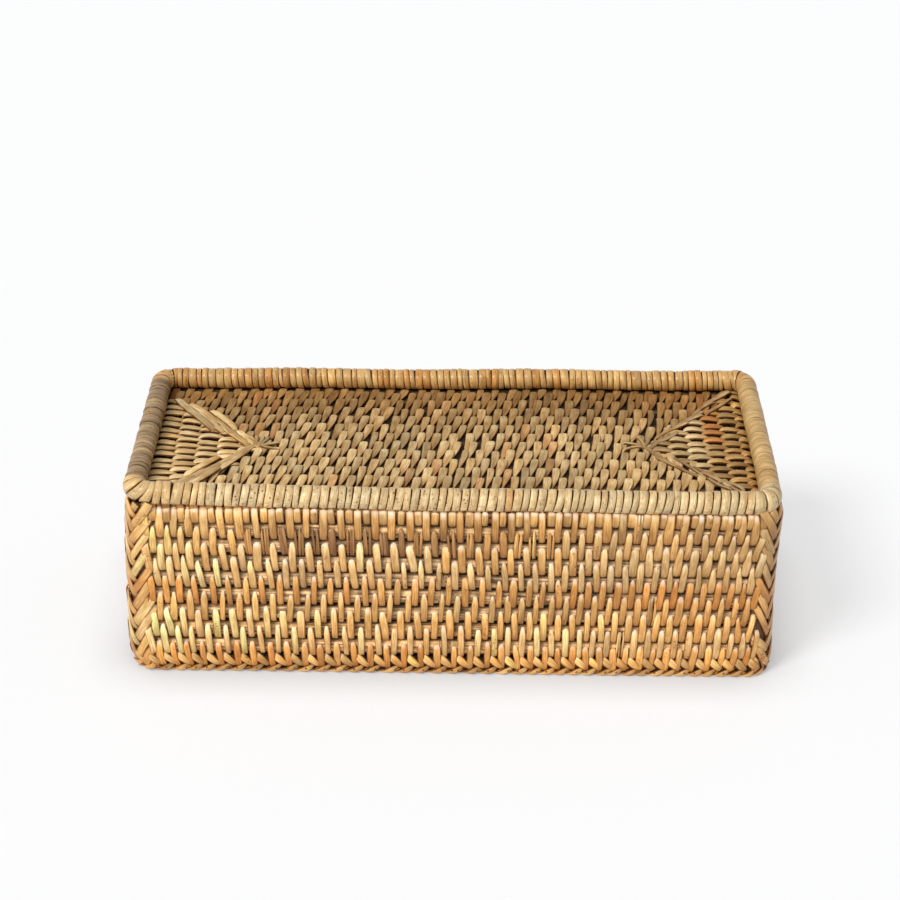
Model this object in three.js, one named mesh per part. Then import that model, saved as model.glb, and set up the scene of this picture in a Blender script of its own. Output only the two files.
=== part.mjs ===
import * as THREE from 'three';

// Driving sizes in millimetres. The basket lies upside down: rim on Z 0, foot ring on top.
const LENGTH = 300; // overall, along X
const WIDTH = 130; // overall, along Y
const HEIGHT = 98; // rim to foot ring, along Z
const COURSES = 10; // core rods stacked up the wall, the rim rod among them
const ROD_T = 6; // core rod, measured through the wall
const STRIP_T = 1; // split cane strip that binds the rods
const GAP = 0.3; // clearance between pieces that touch
const CORNER_R = 12; // outside radius of the four upright corners
const CORNER_LEG = 5; // reach of a corner plait along each face beyond the bend
const PLAIT_PITCH = 8; // one strip of a corner plait to the next
const PLAIT_RISE = 0.6; // climb of such a strip for each millimetre away from the corner
const PLAIT_DIP = 0.7; // depth of the groove beside such a strip
const FOOT_D = 10; // foot ring over its wrapping
const FOOT_TAIL = 6; // straight end of a long foot rod past its bend
const RIM_PLAIT_T = 2.4; // rim plait under the rim rod
const RIM_PLAIT_LIP = 6; // height to which the rim plait climbs both faces
const BASE_TURNS = 6; // rounds of the base coil about its core rod
const MITRE_W = 6; // width of the strip along each base mitre
const SLOT_POST = 25; // wall left beside a handle slot, from the basket's side
const SLOT_COURSES = 2; // courses cut back for a handle slot
const BAR_COURSES = 2; // courses between the rim and a handle slot

// Sizes that follow from the ones above.
const LASH = STRIP_T + GAP;
const PITCH = (HEIGHT - FOOT_D) / COURSES;
const ROD_H = PITCH - 2 * GAP;
const WALL_T = ROD_T + 2 * LASH;
const HALF_L = LENGTH / 2;
const HALF_W = WIDTH / 2;
const ROD_EASE = 0.3; // share of a rod's half size taken off each corner
const PLAIT_EDGE = 0.14; // share of a plait strip from its groove to its proud edge
const BEND_STEPS = 4;
const ROUND_SIDES = 12;
const WALL_LINE = LASH + ROD_T / 2; // wall middle, inward from the outside
const WALL_BEND = Math.max(CORNER_R - WALL_LINE, ROD_T / 2 + GAP);
const BASE_Z = HEIGHT - FOOT_D - PITCH / 2;
const BASE_EDGE = LASH + ROD_T + 2 * GAP; // outside of the last base round, inward from the wall
const BASE_PITCH = (HALF_W - BASE_EDGE + GAP) / (BASE_TURNS + 0.5);
const BASE_ROD_W = BASE_PITCH - 2 * GAP;
const CORE_HALF = HALF_L - HALF_W; // base core rod, middle to the centre of its round end
const SLOT_SIDE = HALF_W - SLOT_POST; // handle slot, middle to its end
const SLOT_END = SLOT_SIDE + LASH; // where a cut course stops
const SLOT_Z = BAR_COURSES * PITCH;
const BIND_REACH = HALF_W - CORNER_R - CORNER_LEG - GAP;

const group = new THREE.Group();
group.name = 'rattan_bread_basket';

function add(name, geometry, colour, roughness) {
  const material = new THREE.MeshStandardMaterial({ color: colour, roughness, metalness: 0 });
  const mesh = new THREE.Mesh(geometry, material);
  mesh.name = name;
  group.add(mesh);
}

// Joins rings of points into one skin, closed on itself or capped at both ends.
function skin(rings, closed) {
  const sides = rings[0].length;
  const position = rings.flat().flatMap((p) => [p.x, p.y, p.z]);
  const index = [];
  const spans = closed ? rings.length : rings.length - 1;
  for (let i = 0; i < spans; i += 1) {
    const here = i * sides;
    const next = ((i + 1) % rings.length) * sides;
    for (let j = 0; j < sides; j += 1) {
      const k = (j + 1) % sides;
      index.push(here + j, next + j, next + k, here + j, next + k, here + k);
    }
  }
  if (!closed) {
    const last = (rings.length - 1) * sides;
    for (let j = 1; j < sides - 1; j += 1) {
      index.push(0, j, j + 1, last, last + j + 1, last + j);
    }
  }
  const geometry = new THREE.BufferGeometry();
  geometry.setAttribute('position', new THREE.Float32BufferAttribute(position, 3));
  geometry.setIndex(index);
  if (volume(geometry) < 0) {
    geometry.setIndex(index.reverse());
  }
  geometry.computeVertexNormals();
  return geometry;
}

function volume(geometry) {
  const at = geometry.getAttribute('position');
  const index = geometry.getIndex().array;
  const [a, b, c] = [new THREE.Vector3(), new THREE.Vector3(), new THREE.Vector3()];
  let sum = 0;
  for (let i = 0; i < index.length; i += 3) {
    a.fromBufferAttribute(at, index[i]);
    b.fromBufferAttribute(at, index[i + 1]);
    c.fromBufferAttribute(at, index[i + 2]);
    sum += a.dot(b.cross(c)) / 6;
  }
  return sum;
}

// A rod's section: a rectangle with its corners eased off, as [outward, up] pairs.
function rodSection(width, height) {
  const u = width / 2;
  const v = height / 2;
  const cu = u * ROD_EASE;
  const cv = v * ROD_EASE;
  return [
    [u, v - cv], [u - cu, v], [cu - u, v], [-u, v - cv],
    [-u, cv - v], [cu - u, -v], [u - cu, -v], [u, cv - v],
  ];
}

// A round section with a flat facet at its top and bottom.
function roundSection(diameter) {
  const radius = diameter / 2 / Math.cos(Math.PI / ROUND_SIDES);
  return Array.from({ length: ROUND_SIDES }, (_, i) => {
    const angle = ((i + 0.5) * 2 * Math.PI) / ROUND_SIDES;
    return [radius * Math.cos(angle), radius * Math.sin(angle)];
  });
}

// One place on a path seen from above, with the outward direction there.
function place(x, y, angle) {
  return { x, y, nx: Math.cos(angle), ny: Math.sin(angle) };
}

// Corner number 0 to 3, counted from +X +Y, of a rectangle with rounded corners.
function bend(halfX, halfY, radius, corner) {
  const sx = corner === 0 || corner === 3 ? 1 : -1;
  const sy = corner < 2 ? 1 : -1;
  return Array.from({ length: BEND_STEPS + 1 }, (_, i) => {
    const angle = (corner + i / BEND_STEPS) * (Math.PI / 2);
    const cx = sx * (halfX - radius);
    const cy = sy * (halfY - radius);
    return place(cx + radius * Math.cos(angle), cy + radius * Math.sin(angle), angle);
  });
}

function loop(halfX, halfY, radius) {
  return [0, 1, 2, 3].flatMap((corner) => bend(halfX, halfY, radius, corner));
}

// Carries a section along a path at height z.
function sweep(path, section, z, closed) {
  const rings = path.map((at) =>
    section.map(([u, v]) => new THREE.Vector3(at.x + at.nx * u, at.y + at.ny * u, z + v)));
  return skin(rings, closed);
}

// A sleeve along an open path: out along the outer section and back along the inner one.
function sleeve(path, outer, inner, z) {
  const ring = (at, section) =>
    section.map(([u, v]) => new THREE.Vector3(at.x + at.nx * u, at.y + at.ny * u, z + v));
  const out = path.map((at) => ring(at, outer));
  const back = path.map((at) => ring(at, inner)).reverse();
  return skin([...out, ...back], true);
}

// Turns a half of a path made for the front, minus Y, round to the back.
function turned(path, back) {
  return back ? path.map((at) => ({ x: -at.x, y: -at.y, nx: -at.nx, ny: -at.ny })) : path;
}

// A flat outline raised from z0 to z1.
function raised(points, z0, z1) {
  const shape = new THREE.Shape(points.map(([x, y]) => new THREE.Vector2(x, y)));
  const geometry = new THREE.ExtrudeGeometry(shape, { depth: z1 - z0, bevelEnabled: false });
  geometry.translate(0, 0, z0);
  return geometry;
}

// Colours of the pieces.
const STRAW = 0xcfae74;
const HONEY = 0xb98a4e;
const AMBER = 0xb4783c;
const CREAM = 0xdcc596;
const OLIVE = 0xa58f5f;

const wallX = HALF_L - WALL_LINE;
const wallY = HALF_W - WALL_LINE;
const wallSection = rodSection(ROD_T, ROD_H);

// Wall courses from the rim upward. The ones at the handle slots are cut into two halves.
for (let course = 1; course <= COURSES; course += 1) {
  const z = (course - 0.5) * PITCH;
  const name = `wall_course_${String(course).padStart(2, '0')}`;
  if (course === 1) {
    const height = ROD_H - RIM_PLAIT_T;
    const section = rodSection(ROD_T, height);
    const rimZ = PITCH - GAP - height / 2;
    add(name, sweep(loop(wallX, wallY, WALL_BEND), section, rimZ, true), AMBER, 0.6);
  } else if (course > BAR_COURSES && course <= BAR_COURSES + SLOT_COURSES) {
    const half = [
      place(-wallX, -SLOT_END, Math.PI),
      ...bend(wallX, wallY, WALL_BEND, 2),
      ...bend(wallX, wallY, WALL_BEND, 3),
      place(wallX, -SLOT_END, 0),
    ];
    add(`${name}_front`, sweep(half, wallSection, z, false), HONEY, 0.6);
    add(`${name}_back`, sweep(turned(half, true), wallSection, z, false), HONEY, 0.6);
  } else {
    const tone = course % 2 ? STRAW : HONEY;
    add(name, sweep(loop(wallX, wallY, WALL_BEND), wallSection, z, true), tone, 0.6);
  }
}

// Rim plait: a channel that carries the rim rod and gives the flat edge it stands on.
const plaitU = WALL_T / 2;
const plaitIn = plaitU - STRIP_T;
const plaitEase = RIM_PLAIT_T / 2;
const plaitSection = [
  [plaitEase - plaitU, 0], [plaitU - plaitEase, 0], [plaitU, plaitEase],
  [plaitU, RIM_PLAIT_LIP], [plaitIn, RIM_PLAIT_LIP], [plaitIn, RIM_PLAIT_T],
  [-plaitIn, RIM_PLAIT_T], [-plaitIn, RIM_PLAIT_LIP], [-plaitU, RIM_PLAIT_LIP],
  [-plaitU, plaitEase],
];
const rimBend = Math.max(WALL_BEND, plaitU + GAP);
add('rim_plait', sweep(loop(wallX, wallY, rimBend), plaitSection, 0, true), AMBER, 0.65);

// Base coil, level with the top wall course: a rod folded back along itself and wound outward. Each
// round steps out by one pitch at the front left corner, where the next rod is spliced on.
const baseSection = rodSection(BASE_ROD_W, ROD_T);
const baseBend = BASE_PITCH / 2;
const coreStart = place(CORE_HALF + BASE_ROD_W / 2, 0, Math.PI / 2);
const fold = [
  ...bend(CORE_HALF, 0, baseBend, 1),
  ...bend(CORE_HALF, BASE_PITCH, baseBend, 2).slice(1),
];
add('base_core', sweep([coreStart, ...fold], baseSection, BASE_Z, false), OLIVE, 0.8);
for (let turn = 1; turn <= BASE_TURNS; turn += 1) {
  const x = CORE_HALF + turn * BASE_PITCH;
  const y = turn * BASE_PITCH;
  const step = turn < BASE_TURNS ? BASE_PITCH : 0;
  const path = [
    place(BASE_PITCH - x + baseBend + GAP, -y, 1.5 * Math.PI),
    ...bend(x, y, baseBend, 3),
    ...bend(x, y, baseBend, 0),
    ...bend(x, y, baseBend, 1),
    ...bend(x, y + step, baseBend, 2),
  ];
  add(`base_round_${turn}`, sweep(path, baseSection, BASE_Z, false), OLIVE, 0.8);
}

// Strips laid over the four base mitres, from the core rod's ends to the foot ring.
const mitreZ = BASE_Z + ROD_T / 2 + GAP;
const mitreFrom = BASE_ROD_W / 2 + MITRE_W / 2;
const mitreTo = HALF_W - FOOT_D - MITRE_W / 2;
const cornerNames = ['back_right', 'back_left', 'front_left', 'front_right'];
cornerNames.forEach((corner, i) => {
  const sx = i === 0 || i === 3 ? 1 : -1;
  const sy = i < 2 ? 1 : -1;
  const half = MITRE_W / 2 / Math.SQRT2;
  const apex = corner === 'front_left' ? CORE_HALF - BASE_PITCH : CORE_HALF;
  const at = (d, across) => [sx * (apex + d + across * half), sy * (d - across * half)];
  const tip = mitreFrom - MITRE_W / 2;
  const outline = [
    at(tip, 0), at(mitreFrom, 1), at(mitreTo, 1), at(mitreTo, -1), at(mitreFrom, -1),
  ];
  add(`base_mitre_${corner}`, raised(outline, mitreZ, mitreZ + STRIP_T), STRAW, 0.75);
});

// Corner plaits: strips laid in V rows about each upright corner, rim plait to foot ring. A strip
// is proud near its lower edge and tucks under the next one above. Its ends run flat into the wall.
const plaitLow = RIM_PLAIT_LIP + GAP;
const plaitRun = HEIGHT - FOOT_D - GAP - plaitLow;
const plaitRows = Math.max(2, Math.round(plaitRun / PLAIT_PITCH));
const plaitLevels = Array.from({ length: 2 * plaitRows + 1 }, (_, i) => {
  const proud = i % 2 ? PLAIT_EDGE : 0;
  return (Math.floor(i / 2) + proud) / plaitRows;
});
cornerNames.forEach((corner, i) => {
  const arc = bend(HALF_L, HALF_W, CORNER_R, i);
  const leg = (at, reach) => ({ ...at, x: at.x - at.ny * reach, y: at.y + at.nx * reach });
  const path = [leg(arc[0], -CORNER_LEG), ...arc, leg(arc[BEND_STEPS], CORNER_LEG)];
  const rings = path.map((at, column) => {
    const end = column === 0 || column === path.length - 1;
    const turn = end ? 0.5 : Math.abs((column - 1) / BEND_STEPS - 0.5);
    const away = turn * (Math.PI / 2) * CORNER_R + (end ? CORNER_LEG : 0);
    const point = (depth, z) => new THREE.Vector3(at.x - at.nx * depth, at.y - at.ny * depth, plaitLow + z);
    const face = plaitLevels.map((level, row) => {
      const climb = PLAIT_RISE * away * Math.min(1, 4 * level, 4 - 4 * level);
      return point(row % 2 && !end ? 0 : PLAIT_DIP, level * plaitRun + climb);
    });
    return [point(STRIP_T, 0), ...face, point(STRIP_T, plaitRun)];
  });
  add(`corner_plait_${corner}`, skin(rings, false), AMBER, 0.55);
});

// Bindings over the cut course ends at both sides of each handle slot.
cornerNames.forEach((corner, i) => {
  const sx = i === 0 || i === 3 ? 1 : -1;
  const sy = i < 2 ? 1 : -1;
  const outX = HALF_L;
  const inX = HALF_L - WALL_T;
  const y0 = SLOT_SIDE;
  const outline = [
    [outX, y0], [outX, BIND_REACH], [outX - STRIP_T, BIND_REACH], [outX - STRIP_T, y0 + STRIP_T],
    [inX + STRIP_T, y0 + STRIP_T], [inX + STRIP_T, BIND_REACH], [inX, BIND_REACH], [inX, y0],
  ].map(([x, y]) => [sx * x, sy * y]);
  const top = SLOT_Z + SLOT_COURSES * PITCH;
  add(`slot_binding_${corner}`, raised(outline, SLOT_Z, top), CREAM, 0.55);
});

// Foot ring: two long rods with bent ends, two short rods between them, each in a wrapping.
const footX = HALF_L - FOOT_D / 2;
const footY = HALF_W - FOOT_D / 2;
const footBend = Math.max(CORNER_R - FOOT_D / 2, FOOT_D / 2 + GAP);
const footZ = HEIGHT - FOOT_D / 2;
const footJoint = footY - footBend - FOOT_TAIL;
const wrapOuter = roundSection(FOOT_D);
const wrapInner = roundSection(FOOT_D - 2 * STRIP_T);
const footCore = roundSection(FOOT_D - 2 * LASH);
const longPath = [
  place(-footX, -footJoint, Math.PI),
  ...bend(footX, footY, footBend, 2),
  ...bend(footX, footY, footBend, 3),
  place(footX, -footJoint, 0),
];
['front', 'back'].forEach((side, i) => {
  const path = turned(longPath, i === 1);
  add(`foot_rod_${side}`, sweep(path, footCore, footZ, false), HONEY, 0.7);
  add(`foot_wrap_${side}`, sleeve(path, wrapOuter, wrapInner, footZ), CREAM, 0.6);
});
['right', 'left'].forEach((side, i) => {
  const end = footJoint - GAP;
  const path = turned([place(footX, -end, 0), place(footX, end, 0)], i === 1);
  add(`foot_rod_${side}`, sweep(path, footCore, footZ, false), HONEY, 0.7);
  add(`foot_wrap_${side}`, sleeve(path, wrapOuter, wrapInner, footZ), STRAW, 0.7);
});

export default group;
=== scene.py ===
import math
from collections import namedtuple

import bpy
import numpy as np
from mathutils import Matrix


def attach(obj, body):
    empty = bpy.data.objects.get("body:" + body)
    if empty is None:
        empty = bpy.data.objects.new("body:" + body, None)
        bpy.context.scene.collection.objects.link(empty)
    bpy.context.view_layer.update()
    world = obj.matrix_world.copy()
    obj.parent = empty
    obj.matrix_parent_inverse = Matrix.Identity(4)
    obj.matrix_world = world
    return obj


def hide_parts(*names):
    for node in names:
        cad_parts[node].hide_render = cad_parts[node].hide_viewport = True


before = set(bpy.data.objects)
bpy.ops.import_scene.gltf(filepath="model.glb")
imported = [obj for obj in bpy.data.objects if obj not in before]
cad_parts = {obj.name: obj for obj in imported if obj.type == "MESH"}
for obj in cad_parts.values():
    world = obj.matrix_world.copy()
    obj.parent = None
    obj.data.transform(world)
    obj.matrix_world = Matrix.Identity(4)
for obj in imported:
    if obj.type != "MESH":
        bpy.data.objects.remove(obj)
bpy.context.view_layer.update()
scene = bpy.context.scene

# Sizes in mm, as in the CAD model
HALF_L, HALF_W, HEIGHT = 150.0, 65.0, 98.0
FOOT_R = 5.0
COURSES, PITCH = 10, 8.8
ROD_T, LASH = 6.0, 1.3
CORNER_R = 12.0
TOP_Z = HEIGHT - 2 * FOOT_R
BASE_Z = TOP_Z - PITCH / 2
BASE_ROUNDS = 6
BASE_PITCH = (HALF_W - LASH - ROD_T - 0.3) / (BASE_ROUNDS + 0.5)
CORE_HALF = HALF_L - HALF_W
SLOT_HALF, SLOT_LOW, SLOT_TOP = 40.0, 2 * PITCH, 4 * PITCH
POST_END = 47.7

# Half length, half width and corner radius of the wall's faces, of its rods and of the foot ring
OUTER = (HALF_L - LASH, HALF_W - LASH, CORNER_R - LASH)
INNER = (HALF_L - LASH - ROD_T, HALF_W - LASH - ROD_T, CORNER_R - LASH - ROD_T)
MIDDLE = (HALF_L - LASH - ROD_T / 2, HALF_W - LASH - ROD_T / 2, CORNER_R - LASH - ROD_T / 2)
FOOT = (HALF_L - FOOT_R, HALF_W - FOOT_R, CORNER_R - FOOT_R)

# A side with a half length above this is a long one.
LONG_HALF = 100

# Tones of cane, linear
CREAM = np.array([0.93, 0.65, 0.31])
STRAW = np.array([0.84, 0.54, 0.205])
TAN = np.array([0.74, 0.435, 0.15])
AMBER = np.array([0.67, 0.295, 0.065])
RUST = np.array([0.53, 0.17, 0.045])
UMBER = np.array([0.23, 0.12, 0.045])
BROWN = np.array([0.36, 0.19, 0.08])
OLIVE = np.array([0.62, 0.45, 0.226])
KHAKI = np.array([0.80, 0.60, 0.315])
BUFF = np.array([0.68, 0.49, 0.24])
NUT = np.array([0.41, 0.275, 0.131])
IVORY = np.array([0.63, 0.425, 0.175])
SPLINT = np.array([0.78, 0.475, 0.225])
# Pale tint of the strip tops: wear and a painted highlight
WEAR_AND_HIGHLIGHT = (0.97, 0.82, 0.66, 1)
SPECK = (0.09, 0.05, 0.025, 1)

rng = np.random.default_rng(11)


def jitter(spread, count=None):
    """Random offsets about 0."""
    return rng.normal(0, spread, count)


# Paths and the unevenness of hand work


def smooth(x, low, high):
    """0 up to low, 1 from high on and a soft slope between."""
    t = np.clip((x - low) / (high - low), 0, 1)
    return t * t * (3 - 2 * t)


def unit(v):
    return v / np.maximum(np.linalg.norm(v, axis=-1, keepdims=True), 1e-9)


def length_along(path, least=0.0):
    """Length from the start of a path to each of its points, with steps of at least a given length."""
    steps = np.linalg.norm(np.diff(path, axis=0), axis=1)
    return np.concatenate([[0], np.cumsum(np.maximum(steps, least))])


def runs_of(half_x, half_y, radius):
    """Half lengths of a rounded rectangle's straight parts, and the length of a corner."""
    return half_x - radius, half_y - radius, radius * math.pi / 2


def ring(s, half_x, half_y, radius):
    """Points and outward directions at lengths s along a rounded rectangle, from mid front to +X."""
    run_x, run_y, quarter = runs_of(half_x, half_y, radius)
    ends = np.cumsum([run_x, quarter, 2 * run_y, quarter, 2 * run_x, quarter, 2 * run_y, quarter, run_x])
    s = np.mod(s, ends[-1])
    part = np.minimum(np.searchsorted(ends, s, side="right"), len(ends) - 1)
    d = s - np.concatenate([[0], ends[:-1]])[part]
    turn = np.array([-1, -1, 0, 0, 1, 1, 2, 2, 3])[part] * math.pi / 2
    corner = part % 2 == 1
    angle = turn + np.where(corner, d / radius, 0)
    start = np.array([
        [0, -half_y], [run_x, -run_y], [half_x, -run_y], [run_x, run_y], [run_x, half_y],
        [-run_x, run_y], [-half_x, run_y], [-run_x, -run_y], [-run_x, -half_y],
    ])[part]
    out = np.stack([np.cos(angle), np.sin(angle)], -1)
    along = np.stack([-np.sin(turn), np.cos(turn)], -1)
    at = start + np.where(corner[..., None], radius * out, along * d[..., None])
    return at, out


def ring_length(half_x, half_y, radius):
    """Length once round a rounded rectangle."""
    return 4 * (half_x + half_y - 2 * radius) + 2 * math.pi * radius


def faces_of(half_x, half_y, radius):
    """Middle and half length of the straight part of each wall, along the ring."""
    run_x, run_y, quarter = runs_of(half_x, half_y, radius)
    return {
        "front": (0.0, run_x),
        "right": (run_x + quarter + run_y, run_y),
        "back": (2 * run_x + 2 * quarter + 2 * run_y, run_x),
        "left": (3 * run_x + 3 * quarter + 3 * run_y, run_y),
    }


def corners_of(half_x, half_y, radius):
    """Middle of each corner, along the ring."""
    run_x, run_y, quarter = runs_of(half_x, half_y, radius)
    first = run_x + quarter / 2
    return {
        "front_right": first,
        "back_right": first + quarter + 2 * run_y,
        "back_left": first + 2 * quarter + 2 * run_y + 2 * run_x,
        "front_left": first + 3 * quarter + 4 * run_y + 2 * run_x,
    }


def warp(p):
    """Unevenness of hand work.

    The basket gets wider to the right, its ends bow, its courses wave, the corners of its rim are tucked in
    and the right rail of the foot ring lies further in.
    """
    x, y, z = p[..., 0], p[..., 1], p[..., 2]
    left, right = smooth(-x, 100, 150), smooth(x, 100, 150)
    low, at_rim, at_foot = smooth(-z, -40, -5), smooth(-z, -10, -1), smooth(z, 82, 91)
    bow = np.sin(np.pi * np.clip(z / 84, 0, 1))
    dx = -left * (1.2 + 1.5 * bow + 1.2 * low) - 1.3 * bow * right
    dx = dx + (1.6 * left - 1.6 * right) * at_rim - 1.3 * right * at_foot
    wide = (0.3 + 1.9 * smooth(x, -130, 90)) * (0.5 + 0.5 * smooth(z, 0, 80))
    dy = y / 60 * wide + 0.3 * bow * np.sin(0.026 * x + 0.05 * z)
    dz = 1.2 * bow + 0.3 * np.clip(z / TOP_Z, 0, 1) * np.sin(0.055 * x + 0.06 * z)
    return p + np.stack([dx, dy, dz], -1)


def foot_sag(x, y):
    """The front rail of the foot ring hangs a little lower than the others."""
    return 0.3 * smooth(y, 20, 55) - 2.0 * smooth(x, -150, -70) * smooth(-y, 30, 55)


# Strips and rods

# Points of a strip's section: across its face and at the edges of its back, in half widths.
ACROSS = np.array([-1.0, -0.6, 0.0, 0.6, 1.0])
BACK_EDGES = np.array([0.94, -0.94])
# Share of strips with specks, spread of the grain, angle of sharp edges, roundness and thickness of strips
SPECKLED_SHARE, GRAIN_SPREAD, SHARP_ANGLE = 0.18, 900, 62
WALL_CROWN, THIN = 0.35, 0.8
# When its painted shade and highlight begin this share before a strip does, the strip has no painted dark
# start and no pale top.
PLAIN_START = -0.4


def tube_faces(n, m, closed):
    """Faces between n rings of m points, closed on themselves or capped."""
    faces = []
    for i in range(n if closed else n - 1):
        for j in range(m):
            k, o = (j + 1) % m, (i + 1) % n
            faces.append((i * m + j, i * m + k, o * m + k, o * m + j))
    if not closed:
        faces.append(tuple(range(m - 1, -1, -1)))
        faces.append(tuple((n - 1) * m + j for j in range(m)))
    return faces


def rows_of(shape, *values):
    """A row of values for each point of a grid, from values that spread over the grid."""
    return np.stack([np.broadcast_to(value, shape) for value in values], -1).reshape(-1, len(values))


def put(name, data):
    obj = bpy.data.objects.new(name, data)
    scene.collection.objects.link(obj)
    return obj


def nodes_named(*starts):
    """The CAD's nodes whose names start so."""
    return [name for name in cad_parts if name.startswith(starts)]


class Weave:
    """Gathers strips and rods into one mesh, with their colour and the way their grain runs."""

    def __init__(self):
        self.verts, self.faces, self.tint, self.grain, self.place = [], [], [], [], []
        self.count = 0

    def add(self, verts, faces, tint, grain, place):
        """A shape with its tint, place along and across the grain, and place in the strip."""
        self.verts.append(warp(verts))
        self.faces.extend([v + self.count for v in face] for face in faces)
        self.tint.append(np.broadcast_to(tint, verts.shape))
        self.grain.append(grain)
        self.place.append(place)
        self.count += len(verts)

    def strip(self, path, normal, width, thick, tint, crown=0.5, begin=0.0):
        """A strip with a slightly round face. path is the middle of its back, begin where its painted shade
        starts.
        """
        across = np.concatenate([ACROSS, BACK_EDGES])
        n, m = len(path), len(across)
        tangent = unit(np.gradient(path, axis=0))
        side = unit(np.cross(tangent, normal))
        normal = np.cross(side, tangent)
        half = np.broadcast_to(width, n)[:, None] / 2
        top = path[:, None] + side[:, None] * (ACROSS * half)[..., None]
        top = top + normal[:, None] * (thick * (1 - crown * ACROSS ** 2))[:, None]
        low = path[:, None] + side[:, None] * (BACK_EDGES * half)[..., None]
        verts = np.concatenate([top, low], 1).reshape(-1, 3)
        length = length_along(path)
        grain = rows_of((n, m), across * half, length[:, None], rng.uniform(0, GRAIN_SPREAD))
        # Share along the strip from begin, which places its painted shade and painted highlight
        down = np.clip((length / length[-1] - begin) / (1 - begin), 0, 1)
        speckled = float(rng.random() < SPECKLED_SHARE)
        place = rows_of((n, m), np.abs(across), down[:, None], speckled)
        self.add(verts, tube_faces(n, m, False), tint, grain, place)

    def tube(self, rings, tint, closed, turn_mm):
        """A rod through rings of points, closed or capped. turn_mm is how far the grain goes round it."""
        n, m = rings.shape[:2]
        middle = rings.mean(1)
        length = length_along(middle)
        grain = rows_of((n, m), np.linspace(0, turn_mm, m), length[:, None], rng.uniform(0, GRAIN_SPREAD))
        # How far each point lies from the rod's middle height, which places the painted shade where rods meet
        level = np.abs(rings[..., 2] - middle[:, None, 2])
        place = rows_of((n, m), level / level.max(), 0.5, 0.0)
        self.add(rings.reshape(-1, 3), tube_faces(n, m, closed), tint, grain, place)

    def build(self, name, material, nodes=()):
        """Makes the piece, which stands in for the given nodes of the CAD."""
        mesh = bpy.data.meshes.new(name)
        mesh.from_pydata((np.concatenate(self.verts) / 1000).tolist(), [], self.faces)
        mesh.polygons.foreach_set("use_smooth", np.ones(len(mesh.polygons), bool))
        tint = np.concatenate(self.tint)
        tint = np.concatenate([tint, np.ones((len(tint), 1))], 1)
        layers = (
            ("tint", "FLOAT_COLOR", "color", tint),
            ("grain", "FLOAT_VECTOR", "vector", np.concatenate(self.grain)),
            ("place", "FLOAT_VECTOR", "vector", np.concatenate(self.place)),
        )
        for key, kind, field, values in layers:
            layer = mesh.attributes.new(key, kind, "POINT")
            layer.data.foreach_set(field, values.astype(np.float32).ravel())
        mesh.set_sharp_from_angle(angle=math.radians(SHARP_ANGLE))
        mesh.validate()
        mesh.materials.append(material)
        obj = put(name, mesh)
        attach(obj, "root")
        if nodes:
            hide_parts(*nodes)


def vary(colour, spread, warm=0.03):
    """A tone changed a little in depth and warmth."""
    deep = math.exp(np.clip(rng.normal(), -2, 2) * spread)
    hue = 1 + np.clip(rng.normal(), -2, 2) * warm * np.array([0.6, 0.0, -1.2])
    return np.clip(colour * deep * hue, 0.01, 0.95)


# Materials


def nodes_of(name):
    """A new material with its node tree and its shader."""
    material = bpy.data.materials.new(name)
    material.use_nodes = True
    tree = material.node_tree
    return material, tree, tree.nodes["Principled BSDF"]


def connect(tree, node, inputs):
    """Sets a node's inputs, each to a value or to another node's socket."""
    for key, value in inputs.items():
        if isinstance(value, bpy.types.NodeSocket):
            tree.links.new(value, node.inputs[key])
        else:
            node.inputs[key].default_value = value


def wire(tree, kind, inputs=None, **settings):
    """A new node with its settings and inputs."""
    node = tree.nodes.new("ShaderNode" + kind)
    for key, value in settings.items():
        setattr(node, key, value)
    connect(tree, node, inputs or {})
    return node


def attribute(tree, name, output="Vector"):
    """What the mesh says at each point."""
    return wire(tree, "Attribute", attribute_name=name).outputs[output]


def stretched(tree, vector, factors):
    """A vector times a factor for each axis."""
    return wire(tree, "VectorMath", {0: vector, 1: factors}, operation="MULTIPLY").outputs[0]


def noise(tree, grain, factors, detail=3.0):
    """Noise that is drawn out along the grain."""
    vector = stretched(tree, grain, factors)
    return wire(tree, "TexNoise", {"Vector": vector, "Scale": 1.0, "Detail": detail}).outputs["Fac"]


def span(tree, value, low, high, to_low, to_high):
    """A value mapped from one range to another."""
    return wire(tree, "MapRange", {
        "Value": value, "From Min": low, "From Max": high, "To Min": to_low, "To Max": to_high,
    }).outputs["Result"]


def maths(tree, operation, a, b):
    return wire(tree, "Math", {0: a, 1: b}, operation=operation).outputs[0]


def times(tree, a, b):
    return maths(tree, "MULTIPLY", a, b)


def blend(tree, share, a, b, way="MIX"):
    """Two colours mixed. The node's colour inputs are numbers 6 and 7, its colour output number 2."""
    return wire(tree, "Mix", {0: share, 6: a, 7: b}, data_type="RGBA", blend_type=way).outputs[2]


def bumps(tree, height, strength, distance):
    """The directions of a bumpy surface."""
    inputs = {"Height": height, "Strength": strength, "Distance": distance}
    return wire(tree, "Bump", inputs).outputs["Normal"]


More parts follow.
